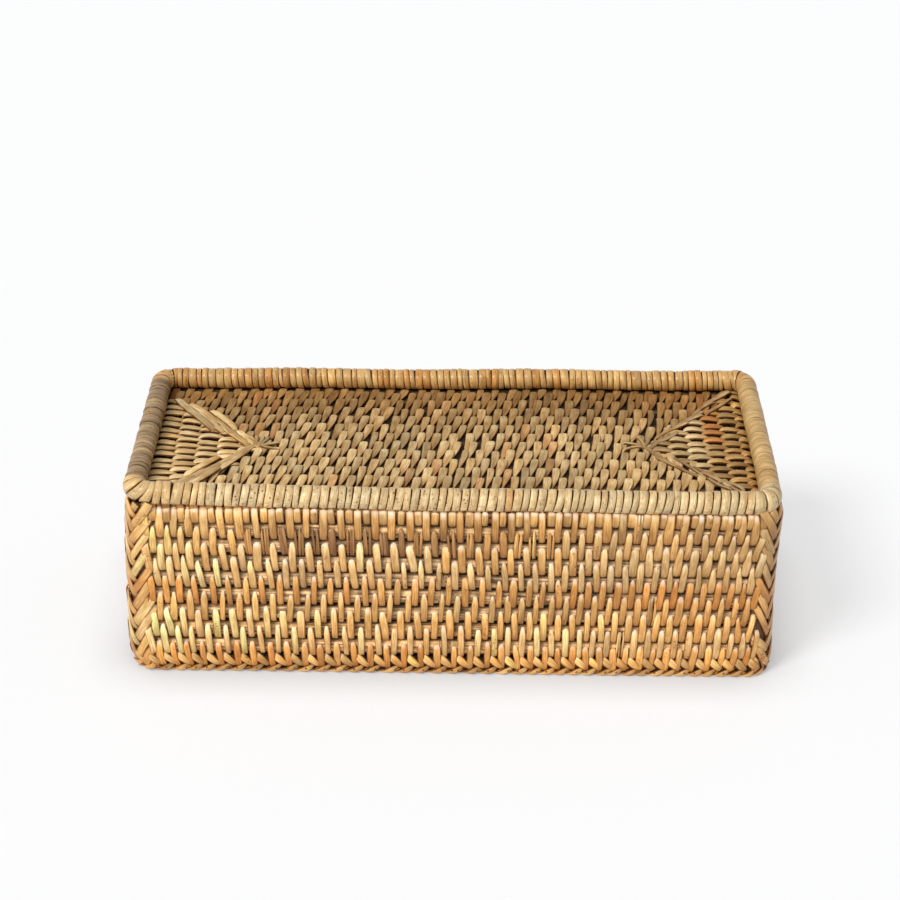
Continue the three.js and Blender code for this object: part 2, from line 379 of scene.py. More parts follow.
def cane(name, rough, shade_along, rim, hem, gloss, speckle=0.0, bump=0.35, dirt=0.35, coat=0.0, wear_and_highlight=0.0):
    """Split cane: fibres along the strip, painted shade at the edges and ends, faint stains.

    The strips are painted lighter near the top and darker towards the lower end, as painted light and shade.
    If asked, their tops are painted pale, as wear and as a painted highlight, and some strips have dark
    specks.
    """
    material, tree, shader = nodes_of(name)
    grain = attribute(tree, "grain")
    spot = wire(tree, "SeparateXYZ", {"Vector": attribute(tree, "place")}).outputs
    aside, down, speckled = spot["X"], spot["Y"], spot["Z"]
    coarse = noise(tree, grain, (3.2, 0.16, 1.0))
    fine = noise(tree, grain, (11.0, 0.3, 1.0), 2.0)
    stain = noise(tree, grain, (0.35, 0.11, 1.0), 4.0)
    depth = span(tree, coarse, 0.3, 0.7, 0.76, 1.2)
    for value, *ranges in (
        (fine, 0.3, 0.7, 0.82, 1.14),
        # Painted shade at the strip's edges
        (aside, hem, 1.0, 1.0, 1.0 - rim),
        # Painted light near the top and painted shade towards the lower end
        (down, 0.12, 0.95, 1.0 + shade_along / 3, 1.0 - shade_along),
        # Painted shade at the start of a strip, where it dives into its rod or lies just below the foot ring
        (down, 0.0, 0.035, 0.5, 1.0),
        (stain, 0.35, 0.75, 1.06, 1.0 - dirt),
    ):
        depth = times(tree, depth, span(tree, value, *ranges))
    shade = wire(tree, "CombineXYZ", {
        "X": depth, "Y": maths(tree, "POWER", depth, 1.4), "Z": maths(tree, "POWER", depth, 1.9),
    }).outputs[0]
    colour = blend(tree, 1.0, attribute(tree, "tint", "Color"), shade, "MULTIPLY")
    # Pale tops: partly wear, partly a painted highlight where the strip bends out over its rod
    if wear_and_highlight:
        top = times(tree, span(tree, down, 0.0, 0.05, 0.0, wear_and_highlight), span(tree, down, 0.07, 0.22, 1.0, 0.0))
        top = times(tree, top, span(tree, noise(tree, grain, (0.0, 0.0, 1.0)), 0.36, 0.6, 0.15, 1.0))
        top = times(tree, top, span(tree, aside, 0.35, 0.95, 1.0, 0.0))
        colour = blend(tree, top, colour, WEAR_AND_HIGHLIGHT)
    if speckle:
        dots = stretched(tree, grain, (0.55, 0.5, 1.0))
        cells = wire(tree, "TexVoronoi", {"Vector": dots, "Scale": 1.0, "Randomness": 1.0})
        where = span(tree, noise(tree, grain, (0.16, 0.12, 1.0), 2.0), 0.42, 0.56, 0.0, 1.0)
        where = times(tree, where, speckled)
        mask = span(tree, cells.outputs["Distance"], 0.18, 0.32, 1.0, 0.0)
        colour = blend(tree, times(tree, mask, times(tree, where, speckle)), colour, SPECK)
    height = maths(tree, "ADD", times(tree, coarse, 0.7), times(tree, fine, 0.5))
    connect(tree, shader, {
        "Base Color": colour,
        "Roughness": span(tree, coarse, 0.3, 0.7, rough - 0.08, rough + 0.12),
        "Specular IOR Level": gloss,
        "Coat Weight": coat,
        "Coat Roughness": 0.18,
        "Normal": bumps(tree, height, bump, 0.0004),
    })
    return material


def core_rod(name):
    """Bundled splints seen between the strips: thin dark lines along the rod, and painted shade where rods
    meet.
    """
    material, tree, shader = nodes_of(name)
    grain = attribute(tree, "grain")
    level = wire(tree, "SeparateXYZ", {"Vector": attribute(tree, "place")}).outputs["X"]
    fibre = noise(tree, grain, (1.0, 0.04, 1.0), 4.0)
    patch = noise(tree, grain, (0.12, 0.22, 1.0), 2.0)
    depth = times(tree, span(tree, fibre, 0.36, 0.64, 0.25, 1.35), span(tree, patch, 0.35, 0.65, 0.45, 1.2))
    # Painted shade towards the top and bottom of each rod, where rods meet
    depth = times(tree, depth, span(tree, level, 0.6, 0.93, 1.0, 0.08))
    colour = blend(tree, 1.0, attribute(tree, "tint", "Color"), depth, "MULTIPLY")
    connect(tree, shader, {
        "Base Color": colour,
        "Roughness": 0.6,
        "Specular IOR Level": 0.15,
        "Normal": bumps(tree, fibre, 0.7, 0.0008),
    })
    return material


WALL_CANE = cane("wall_cane", rough=0.4, speckle=0.6, coat=0.35, shade_along=0.36, rim=0.75, hem=0.7, wear_and_highlight=0.85,
                 gloss=0.1)
BASE_CANE = cane("base_cane", rough=0.6, dirt=0.4, bump=0.6, shade_along=0.28, rim=0.7, hem=0.8, gloss=0.15)
FOOT_CANE = cane("foot_cane", rough=0.42, speckle=0.95, coat=0.3, shade_along=0.0, rim=0.75, hem=0.84, gloss=0.2)
RAIL_CANE = cane("rail_cane", rough=0.5, speckle=0.5, coat=0.2, shade_along=0.0, rim=0.25, hem=0.9, gloss=0.2)
CORE = core_rod("core_rod")

# Core rods of the wall

ROD_H = 8.4
SLOT_COURSES = (3, 4)


def rod_section(wide, high, points=60):
    """Outline of a bundle of splints: a rounded oblong with a fine ripple."""
    angle = np.linspace(0, 2 * np.pi, points, endpoint=False)
    across, up = (np.sign(v) * np.abs(v) ** 0.92 for v in (np.cos(angle), np.sin(angle)))
    ripple = 1 + 0.03 * np.cos(points / 3 * angle)
    return np.stack([wide / 2 * across, high / 2 * up], -1) * ripple[:, None]


def rod_rings(at, out, section, z):
    """Rings of points of a rod at height z, from points along it and their outward directions."""
    rings = np.zeros((len(at), len(section), 3))
    rings[..., :2] = at[:, None] + out[:, None] * section[:, :1]
    rings[..., 2] = z + section[:, 1]
    return rings


def hoop(weave, path, count, section, z, tint, turn_mm):
    """A rod that runs all round the basket."""
    s = np.linspace(0, ring_length(*path), count, endpoint=False)
    weave.tube(rod_rings(*ring(s, *path), section, z), tint, True, turn_mm)


wall_rods = Weave()
run_x, run_y, quarter = runs_of(*MIDDLE)
slot_run = run_x + quarter + run_y - SLOT_HALF - LASH
for course in range(1, COURSES + 1):
    z = (course - 0.5) * PITCH
    colour = 0.8 * SPLINT + 0.35 * AMBER if course < 4 else SPLINT
    # The top course, under the foot ring, is painted dark as shade there.
    tone = vary(UMBER if course == COURSES else colour, 0.08)
    if course == 1:
        # The rods of the rim and a lining at both faces are painted dark as shade behind its strips.
        hoop(wall_rods, MIDDLE, 110, rod_section(ROD_T, 6.4), 5.3, 0.6 * UMBER, 22)
        hoop(wall_rods, MIDDLE, 110, rod_section(5.4, 3.0, 24), 1.9, 0.4 * UMBER, 14)
        for path, depth in ((OUTER, -0.7), (INNER, 0.7)):
            hoop(wall_rods, path, 300, rod_section(1.0, 8.0, 24) + [depth, 0], 4.3, 0.5 * UMBER, 14)
    elif course in SLOT_COURSES:
        for side in ("front", "back"):
            s = faces_of(*MIDDLE)[side][0] + np.linspace(-slot_run, slot_run, 60)
            rings = rod_rings(*ring(s, *MIDDLE), rod_section(ROD_T, ROD_H), z)
            wall_rods.tube(rings, tone, False, 24)
    else:
        hoop(wall_rods, MIDDLE, 110, rod_section(ROD_T, ROD_H), z, tone, 24)
wall_rods.build("wall_rods", CORE, nodes_named("wall_course"))

# Lashing of the wall: each stitch goes over the groove between two courses, and the rows lie like bricks

# Places along a stitch as shares of its length, with its lift and share of its width there
ALONG = np.array([0.0, 0.02, 0.045, 0.08, 0.13, 0.2, 0.32, 0.45, 0.58, 0.7, 0.8, 0.9, 0.96, 1.0])
LIFT = np.array([-1.7, -0.95, -0.45, 0.0, 0.4, 0.65, 0.6, 0.5, 0.45, 0.45, 0.4, 0.2, -0.3, -1.5])
ENDS = np.interp(ALONG, [0, 0.02, 0.045, 0.08, 0.2, 0.7, 1.0], [0.5, 0.75, 0.9, 0.98, 1.04, 1.0, 0.94])

# Rows from foot ring to rim: width, share of it at the tip, lean, and shift to the left in stitches
STRIP_W = [3.7, 3.6, 3.4, 3.5, 3.1, 3.1, 3.0, 3.2, 2.9, 3.0]
TIP_W = [1.0, 1.0, 0.65, 0.95, 0.75, 0.7, 0.58, 0.9, 0.8, 0.8]
ROW_LEAN = [0.0, 0.2, 0.2, 0.5, 0.6, -0.5, -1.2, -0.1, 0.1, 0.2]
SHIFT = [0.0, 0.48, 0.93, 1.38, 1.75, 2.15, 2.55, 2.96, 3.38, 3.8]
SLOT_ROWS = (6, 7, 8)
RIM_ROW = COURSES - 1

# How far a stitch starts above its groove. The foot ring hides the start of the first two rows.
OVER = 5.9
# Where the painted shade of the first two rows begins: just below the foot ring, standing for the ring's
# shadow.
HIDDEN_START = {0: 0.4, 1: 0.21}

# A stitch of this row lies at this place, which fixes all the others.
MARK_ROW, MARK_PLACE = 3, -19.8

# In this row of the front wall, most stitches of this stretch are split into fibres. Elsewhere few are.
FRAYED_ROW, FRAYED_FROM, FRAYED_TO = 2, -95, 45
FRAYED_SHARE, STRAY_SHARE = 0.7, 0.012
FIBRES_AT = (-1.15, 0.0, 1.1)

# Highest start of a stitch inside, below the base, and lowest end at the rim
INSIDE_TOP, LOWEST_END = 79.0, 2.6

# Stretches of darker, paler or redder cane in the front wall, by row: from, to, tone and share
STRETCHES = {
    1: [(-150, -90, STRAW, 0.6), (-40, 60, AMBER, 0.25)],
    2: [(-150, -95, STRAW, 0.4), (-95, -18, BROWN, 0.75), (-18, 45, BROWN, 0.35), (45, 150, BUFF, 0.5)],
    3: [(-150, -95, CREAM, 0.5), (-95, -5, CREAM, 0.8), (60, 150, BUFF, 0.65)],
    4: [(-150, 20, CREAM, 0.65), (20, 150, BUFF, 0.65)],
    5: [(-150, -95, AMBER, 0.7), (-95, 55, AMBER, 0.45), (55, 150, AMBER, 0.85)],
    6: [(-95, 20, STRAW, 0.4), (75, 150, AMBER, 0.25)],
    7: [(-150, -60, CREAM, 0.45), (90, 150, AMBER, 0.3)],
    8: [(-150, 70, CREAM, 0.7), (70, 150, BUFF, 0.6)],
    9: [(-150, 150, AMBER, 0.8)],
}

# A wall to lash: path, face, middle and half length along the path, and a number for its tones
Wall = namedtuple("Wall", "path inward middle half phase")


def wall_point(path, inward, s, z, lift):
    """Points off the outer or the inner face of the wall, with their directions."""
    at, out = ring(s, *path)
    if inward:
        out = -out
    p = np.zeros(at.shape[:-1] + (3,))
    p[..., :2] = at + out * lift[..., None]
    p[..., 2] = z
    normal = np.zeros_like(p)
    normal[..., :2] = out
    return p, normal


def row_tone(row, w, phase):
    """Strips are taken from several canes, so a row keeps its tone for a stretch."""
    colour = TAN * (0.82 if row < 2 else 1.0 if row < 7 else 1.26)
    if phase == 0:
        for begin, end, tone, share in STRETCHES.get(row, []):
            if begin < w < end:
                share = min(share * rng.uniform(0.6, 1.3), 1)
                colour = colour * (1 - share) + tone * share
        colour = colour * (1 + 0.18 * smooth(-w, 50, 100))
    else:
        pick = math.sin(2.1 * row + 1.7 * phase + 0.02 * w) + 0.6 * math.sin(0.05 * w + 1.3 * row + phase)
        tone = CREAM if pick > 0.7 else STRAW if pick > 0 else AMBER if pick > -0.9 else UMBER
        colour = 0.45 * colour + 0.55 * tone
    return vary(colour, 0.12, 0.04)


def lean_of(w):
    """Sideways run of a stitch over its length: the work leans outwards to both ends of the wall."""
    return np.interp(w, [-140, -60, 0, 60, 110, 140], [1.7, 0.5, -0.1, -0.7, -1.5, -2.2])


def row_places(half, inward, row):
    """Places of a row's stitches along a wall. Each row begins a little to the left of the row above it."""
    low, high = (-half - 1.5, half + 1.5) if inward else (-half - 1.8, half + 2.6)
    w = np.linspace(low, high, 500)
    pitch = np.full(len(w), 7.4)
    step = np.full(len(w), SHIFT[row])
    if half > LONG_HALF:
        pitch = np.interp(w, [-122, -112, 0, 30, 100, 125, 142], [6.1, 7.8, 7.8, 7.4, 7.2, 6.4, 5.4])
        step = step + row * np.interp(w, [20, 60, 105], [0.0, 0.08, 0.2])
    count = np.cumsum(1 / pitch) * (w[1] - w[0])
    count = count - np.interp(MARK_PLACE, w, count) + step - SHIFT[MARK_ROW]
    return np.interp(np.arange(math.ceil(count[0]), math.floor(count[-1]) + 1), count, w)


def room(x, half_wide, above):
    """Sideways push and squeeze that bring the top of a stitch between the ends of the stitches above it."""
    low = max((u + h for u, h in above if u <= x), default=-1000.0)
    high = min((u - h for u, h in above if u > x), default=1000.0)
    if high - low < 2 * half_wide:
        return (low + high) / 2 - x, max((high - low) / (2 * half_wide), 0.6)
    return np.clip(x, low + half_wide, high - half_wide) - x, 1.0


def wall_stitch(weave, wall, row, w, above):
    """A stitch at w along the wall, under those above. Returns place and half width of its lower end."""
    groove = TOP_Z - PITCH * row
    top = groove + (PITCH + 1.0 if row == 1 else OVER + jitter(0.5))
    top = min(top, INSIDE_TOP if wall.inward else TOP_Z + 1.5)
    end = groove - PITCH + 0.3 + jitter(0.25)
    end = max(end, LOWEST_END) if row == RIM_ROW else end
    lean = lean_of(w * (1 if wall.half > LONG_HALF else 1.6)) + ROW_LEAN[row] + jitter(0.45)
    lean = -lean if wall.inward else lean
    stout = smooth(w, 35, 95)
    wide = max(STRIP_W[row] + jitter(0.3), 2.4) * (1 + 0.09 * stout)
    push, squeeze = room(w - 0.25 * lean, 0.5 * wide, above)
    push = np.clip(push, -1.3, 1.3) * np.interp(ALONG, [0.1, 0.65], [1.0, 0.0])
    s = wall.middle + w + lean * (ALONG - 0.45) + push
    tip = min(TIP_W[row] * rng.uniform(0.7, 1.35) * (1 + 0.4 * stout), 1.0)
    width = wide * ENDS * np.interp(ALONG, [0.25, 0.5], [squeeze, 1.0])
    width = width * np.interp(ALONG, [0.0, 0.22], [tip, 1.0])
    zs = top + (end - top) * ALONG
    lift = LIFT + 0.12 * rng.normal() - (0 if wall.inward else 2.2 * smooth(zs, 83.0, 87.0))
    p, normal = wall_point(wall.path, wall.inward, s, zs, lift)
    tone = row_tone(row, w, wall.phase)
    frayed = wall.phase == 0 and row == FRAYED_ROW and FRAYED_FROM < w < FRAYED_TO
    begin = PLAIN_START if frayed else HIDDEN_START.get(row, 0.0)
    if rng.random() < (FRAYED_SHARE if frayed else STRAY_SHARE):
        aside = np.stack([-normal[:, 1], normal[:, 0], np.zeros(len(p))], -1)
        for off in FIBRES_AT:
            fan = off + jitter(0.15) + jitter(0.4) * (1 - ALONG)
            fibre = p + fan[:, None] * aside
            weave.strip(fibre, normal, 0.36 * width, 0.6, vary(tone, 0.25), WALL_CROWN, begin)
    else:
        weave.strip(p, normal, width, 0.9, tone, WALL_CROWN, begin)
    return w + 0.35 * lean, 0.47 * wide


def wall_lashing(inward):
    """Rows of stitches on the walls' outer or inner faces. The inside has no row next to the base."""
    path = INNER if inward else OUTER
    for number, (face, (middle, half)) in enumerate(faces_of(*path).items()):
        weave = Weave()
        wall = Wall(path, inward, middle, half, number + (4 if inward else 0))
        here = []
        for row in range(1 if inward else 0, COURSES):
            above, here = here, []
            places = row_places(half, inward, row)
            for w in places + jitter(0.3, len(places)):
                in_slot = face in ("left", "right") and abs(w) < SLOT_HALF + 1 and row in SLOT_ROWS
                if not in_slot:
                    here.append(wall_stitch(weave, wall, row, w, above))
        weave.build(f"wall_lashing_{'inside' if inward else 'outside'}_{face}", WALL_CANE)


wall_lashing(False)
wall_lashing(True)

# Foot ring: a core and separate close turns of strip round it

# Turns of each rail: width, drop of their edges, gap, unevenness and slant
Rail = namedtuple("Rail", "size edge gap uneven lean")
RAILS = {
    "front": Rail(3.8, 0.5, 0.24, 0.12, 0.85),
    "back": Rail(3.3, 0.45, 0.18, 0.18, 0.5),
    "left": Rail(2.9, 0.5, 0.16, 0.3, 1.2),
    "right": Rail(5.4, 0.1, 0.04, 0.24, 0.5),
}
RED_TURN = 26
BAND_POINTS = 22
BAND_ACROSS = np.array([-1.0, -0.84, 0.0, 0.84, 1.0])
BAND_DROP = np.array([1.0, 0.12, 0.0, 0.12, 1.0])


def foot_band(weave, s_mid, wide, lean, tint, radius, edge, specks):
    """One turn of strip round the foot ring."""
    phi = np.linspace(0, 2 * np.pi, BAND_POINTS, endpoint=False)
    s = s_mid + (BAND_ACROSS / 2)[:, None] * wide + lean * np.sin(phi)
    at, out = ring(s, *FOOT)
    r = (radius - BAND_DROP * edge)[:, None]
    verts = np.zeros(s.shape + (3,))
    verts[..., :2] = at + out * (r * np.cos(phi))[..., None]
    verts[..., 2] = HEIGHT - FOOT_R + foot_sag(at[..., 0], at[..., 1]) + r * np.sin(phi)
    faces = []
    for i in range(len(BAND_ACROSS) - 1):
        for j in range(BAND_POINTS):
            this, after, k = i * BAND_POINTS, (i + 1) * BAND_POINTS, (j + 1) % BAND_POINTS
            faces.append((this + j, after + j, after + k, this + k))
    across = BAND_ACROSS[:, None]
    grain = rows_of(s.shape, across * wide / 2, phi * radius, rng.uniform(0, GRAIN_SPREAD))
    place = rows_of(s.shape, np.abs(across), 0.5, specks)
    weave.add(verts.reshape(-1, 3), faces, tint, grain, place)


def foot_tone(side, w):
    """Tone of a turn: pale in front, with a golden left end and one red turn, and dull on the left."""
    if side == "front":
        gold = smooth(-w, 108, 120)
        pale = KHAKI * (0.89 + 0.09 * smooth(-w, 60, 100))
        base = pale * (1 - gold) + (0.34 * STRAW + 0.26 * CREAM + 0.28 * KHAKI) * gold
        return vary(0.55 * AMBER + 0.4 * KHAKI if abs(w - RED_TURN) < 1.8 else base, 0.08, 0.025)
    if side == "back":
        gold = STRAW if rng.random() < 0.85 else AMBER
        return vary(0.45 * gold + 0.4 * TAN, 0.09, 0.03)
    if side == "left":
        return vary(0.87 * NUT, 0.24, 0.03)
    return vary([0.94, 0.9, 0.86] * IVORY, 0.04, 0.015)


for side, (middle, half) in faces_of(*FOOT).items():
    wrap = Weave()
    rail = RAILS[side]
    tail = runs_of(*FOOT)[2] + 3.0 if half > LONG_HALF else -1.2
    run = 2 * (half + tail)
    parts = np.maximum(1 + jitter(rail.uneven, int(round(run / rail.size))), 0.5)
    joints = middle - half - tail + run * np.concatenate([[0], np.cumsum(parts) / parts.sum()])
    for begin, end in zip(joints[:-1], joints[1:]):
        s_mid = (begin + end) / 2
        w = s_mid - middle
        lean = rail.lean + jitter(0.2)
        if half > LONG_HALF:
            lean += smooth(abs(w), half - 8, half + 6) * (-0.9 if w > 0 else 2.2)
        radius = FOOT_R + (0.3 if side == "front" else 0.0) + jitter(0.14)
        specks = (1.0 if -112 < w < 5 else 0.55) * rng.uniform(0.5, 1.0) if side == "front" else 0.4
        foot_band(wrap, s_mid, end - begin - rail.gap, lean, foot_tone(side, w), radius, rail.edge, specks)
    look = RAIL_CANE if side == "right" else FOOT_CANE
    wrap.build("foot_turns_" + side, look, ["foot_wrap_" + side])

foot_core = Weave()
angle = np.linspace(0, 2 * np.pi, 14, endpoint=False)
round_section = np.stack([np.cos(angle), np.sin(angle)], -1) * (FOOT_R - 0.5)
s = np.linspace(0, ring_length(*FOOT), 160, endpoint=False)
foot_rings = rod_rings(*ring(s, *FOOT), round_section, HEIGHT - FOOT_R)
foot_rings[..., 2] += foot_sag(foot_rings[..., 0], foot_rings[..., 1])
foot_core.tube(foot_rings, UMBER * 0.5, True, 26)
foot_core.build("foot_rods", CORE, nodes_named("foot_rod"))

# Base coil, its stitches on both faces and the strips over its mitres

# Where the two mitres of an end meet, as distance outwards and y, and where each mitre ends
APEX = {"left": (94.0, -5.0), "right": (89.5, -2.0)}
MITRE_END = {
    "back_left": (-140, 46),
    "front_left": (-128, -46),
    "back_right": (134, 52),
    "front_right": (132, -46),
}


def bend(half_x, half_y, corner):
    """Points and outward directions round a corner of a rectangle, numbered 0 to 3 from +X +Y."""
    radius = BASE_PITCH / 2
    angle = (corner + np.linspace(0, 1, 5)) * math.pi / 2
    sign_x = 1 if corner in (0, 3) else -1
    sign_y = 1 if corner < 2 else -1
    middle = np.array([(half_x - radius) * sign_x, (half_y - radius) * sign_y])
    out = np.stack([np.cos(angle), np.sin(angle)], -1)
    return np.concatenate([middle + radius * out, out], 1)


# The rod folds back along itself and winds outward, one pitch further out at each front left corner.
coil = [np.array([[CORE_HALF + 4, 0, 0, 1]]), bend(CORE_HALF, 0, 1), bend(CORE_HALF, BASE_PITCH, 2)]
for turn in range(1, BASE_ROUNDS + 1):
    half_x, half_y = CORE_HALF + turn * BASE_PITCH, turn * BASE_PITCH
    coil += [bend(half_x, half_y, corner) for corner in (3, 0, 1)]
    coil.append(bend(half_x, half_y + (BASE_PITCH if turn < BASE_ROUNDS else 0), 2))
coil = np.concatenate(coil)
reach = length_along(coil[:, :2], 1e-6)
stops = np.unique(np.concatenate([reach, np.arange(0, reach[-1], 12.0)]))
coil = np.stack([np.interp(stops, reach, column) for column in coil.T], -1)
base_rods = Weave()
rings = rod_rings(coil[:, :2], unit(coil[:, 2:]), rod_section(BASE_PITCH - 0.3, ROD_T, 24), BASE_Z)
# Painted dark as shade, since these rods show only in the gaps between stitches.
base_rods.tube(rings, UMBER * 0.6, False, 24)
base_rods.build("base_rods", CORE, nodes_named("base_core", "base_round"))

# Lift and width along the base's strips: drops, knots between the right mitres, and flat bands
DROP_AT = [0, 0.03, 0.07, 0.15, 0.3, 0.55, 0.75, 0.88, 1.0]
DROP_LIFT = np.interp(ALONG, DROP_AT, [-1.2, 0.0, 0.55, 1.0, 1.1, 0.8, 0.45, -0.1, -1.4])
DROP_W_AT = [0, 0.02, 0.06, 0.14, 0.32, 0.6, 0.8, 0.92, 1.0]
DROP_W = np.interp(ALONG, DROP_W_AT, [1.6, 2.6, 3.4, 4.0, 4.2, 3.7, 2.7, 1.7, 0.8])
KNOT_AT = [0, 0.05, 0.15, 0.35, 0.6, 0.8, 0.92, 1.0]
KNOT_LIFT = np.interp(ALONG, KNOT_AT, [-1.2, 0.2, 0.9, 1.15, 0.85, 0.3, -0.4, -1.4])
KNOT_W = np.interp(ALONG, [0, 0.04, 0.12, 0.35, 0.65, 0.85, 1.0], [2.2, 3.4, 4.3, 4.7, 4.2, 3.2, 1.6])
BAND_LIFT = np.interp(ALONG, [0, 0.05, 0.14, 0.86, 0.95, 1.0], [-0.3, 0.9, 1.35, 1.35, 0.9, -0.3])
BAND_W = np.interp(ALONG, [0, 0.05, 0.16, 0.84, 0.95, 1.0], [1.8, 3.4, 4.4, 4.4, 3.4, 1.8])

# Tones of the stitches between the right mitres, row by row outwards, and the row with rusty ones
RIGHT_TONES = [
    0.3 * KHAKI + 0.5 * TAN,
    1.1 * OLIVE,
    0.9 * KHAKI,
    0.15 * KHAKI + 0.6 * TAN,
    0.2 * OLIVE + 0.55 * TAN,
    0.75 * TAN,
]
RUSTY_ROW = 3

# Pitch of the long rows, their shift from row to row in stitches, and how far out they reach
LONG_PITCH, LONG_SHIFT, LONG_EDGE = 7.55, 0.36, 60.0
# Between the mitres: where the outermost row on the left and the second on the right start, and pitches
LEFT_X, LEFT_STEP, LEFT_PITCH = -141.8, 9.6, 6.2
RIGHT_X, RIGHT_PITCH = 101.5, 7.3


def mitre_x(y, side):
    """How far out the mitre lies at y, on the left or right."""
    x_apex, y_apex = APEX[side]
    x_end, y_end = MITRE_END[("back_" if y > y_apex else "front_") + side]
    return x_apex + (abs(x_end) - x_apex) * (y - y_apex) / (y_end - y_apex)


def base_tone(x, y):
    """Olive, browner to the back and right, with single rusty stitches and a few more near the middle."""
    wave = math.sin(0.03 * x + 0.05 * y + 0.4) + math.sin(0.05 * x - 0.11 * y)
    brown = 0.85 * smooth(y, 0, 48) + 0.14 * smooth(x, 20, 120)
    colour = OLIVE * 1.1 * (1 - brown) + brown * (0.35 * TAN + 0.24 * BROWN) * [1.02, 0.98, 0.9]
    if rng.random() < 0.04 or (0 < x < 45 and abs(y - 2) < 9 and rng.random() < 0.35):
        colour = 0.65 * colour + 0.35 * RUST
    return vary(colour * (1 + 0.06 * wave), 0.15, 0.03)


def base_strip(weave, start, end, width, lift, under, tone, arc=0.0):
    """A strip on the outer face of the base, or under it, bent sideways by arc."""
    t = ALONG[:, None]
    start, end = np.asarray(start, float), np.asarray(end, float)
    across = unit(np.array([start[1] - end[1], end[0] - start[0]]))
    flat = start * (1 - t) + end * t + across * arc * 4 * t * (1 - t)
    sign = -1 if under else 1
    p = np.concatenate([flat, (BASE_Z + sign * (ROD_T / 2 + lift))[:, None]], 1)
    weave.strip(p, [0.0, 0.0, sign], width, 1.0, tone, 0.38)


def long_stitch(weave, row, j, under):
    """A stitch over the long rounds, between the left and the right mitres."""
    groove = (row - 0.5) * BASE_PITCH
    x = (j - (LONG_SHIFT * row) % 1) * LONG_PITCH + jitter(0.35)
    if abs(x) > mitre_x(groove - 1, "left" if x < 0 else "right") + 1.2:
        return
    y_top = min(groove + (8.2 if row > -5 else 5.5), LONG_EDGE)
    y_end = max(groove - BASE_PITCH - 0.2, -LONG_EDGE)
    lean = 1.6 + jitter(0.35)
    width = DROP_W * (1 + jitter(0.08)) * (1.2 if row < -4 else 1.0)
    shift = jitter(0.5)
    start, end = (x + lean, y_top + shift), (x - lean, y_end + 0.5 * shift)
    base_strip(weave, start, end, width, DROP_LIFT, under, base_tone(x, groove), arc=0.9)


def left_stitch(weave, row, j, under):
    """A stitch between the left mitres. They fan out towards the left."""
    x, y = LEFT_X + LEFT_STEP * row, (j + 0.5 * (row % 2)) * LEFT_PITCH + jitter(0.35)
    if -x - 4.0 <= mitre_x(y, "left"):
        return
    fan = (y - APEX["left"][1]) * np.interp(-x, [105, 142], [0.24, 0.06]) + jitter(0.5)
    tone = 0.5 * base_tone(x, 0.3 * y) + 0.62 * vary(0.25 * OLIVE + 0.78 * KHAKI, 0.1, 0.03)
    start, end = (x, y + 0.5 * fan), (x + 14.0 + jitter(0.6), y - 0.5 * fan)
    width = DROP_W * (1 + jitter(0.09))
    base_strip(weave, start, end, width, DROP_LIFT, under, tone, arc=jitter(0.5))


def right_stitch(weave, row, j, under):
    """A stitch between the right mitres."""
    x = RIGHT_X + BASE_PITCH * (row - 1)
    y = (j + 0.5 * ((row + 1) % 2)) * RIGHT_PITCH + jitter(0.35)
    if x + 5.5 <= mitre_x(y, "right"):
        return
    tone = vary(RIGHT_TONES[row], 0.16, 0.04)
    if row == RUSTY_ROW and 2 < y < 45 and not under:
        tone = 0.3 * tone + 0.7 * (0.6 * RUST + 0.4 * AMBER) * rng.uniform(0.8, 1.2)
    start = (x, y + jitter(0.4))
    end = (min(x + 12.5, INNER[0] - 0.3), y - 0.02 * y + jitter(0.4))
    width = KNOT_W * (1 + jitter(0.07))
    base_strip(weave, start, end, width, KNOT_LIFT, under, tone, arc=jitter(0.3))


for name, under in (("base_stitches_outside", False), ("base_stitches_inside", True)):
    stitches = Weave()
    for row in range(7, -7, -1):
        for j in range(-19, 21):
            long_stitch(stitches, row, j, under)
    for row in range(len(RIGHT_TONES)):
        for j in range(-9, 10):
            left_stitch(stitches, row, j, under)
            right_stitch(stitches, row, j, under)
    stitches.build(name, BASE_CANE)

# Long flat strips on a left mitre: offset, start and length. The right mitres have thinner brown ones.
LONG_STRIPS = [
    (-1.2, -3, 24), (1.0, 4, 27), (-0.8, 14, 26), (1.2, 22, 27), (-1.4, 31, 27), (0.8, 40, 26), (3.6, 27, 25),
    (-4.0, 20, 24),
]
# Directions of the loose ends at the apex, in degrees, and their length
LOOSE_ENDS = {
    "back_left": (62, 80, 98, 118),
    "front_left": (-20, 20),
    "back_right": (75, 105),
    "front_right": (160, 200),
}
LOOSE_LENGTH = 10.5


def mitre_lanes(left, run):
    """Offset, start, length, share of the width and tone of the strips on a mitre."""
    lanes = []
    if left:
        for off, begin, length in LONG_STRIPS:
            lanes.append((off, begin, length, 0.88, vary(0.7 * OLIVE + 0.38 * KHAKI, 0.16, 0.04)))
    else:
        for begin in np.linspace(-3, run - 8, 10):
            off, length, wide = jitter(1.5), rng.uniform(13, 24), rng.uniform(0.4, 0.62)
            lanes.append((off, begin, length, wide, vary(0.6 * OLIVE + 0.3 * BROWN, 0.16, 0.04)))
    return lanes


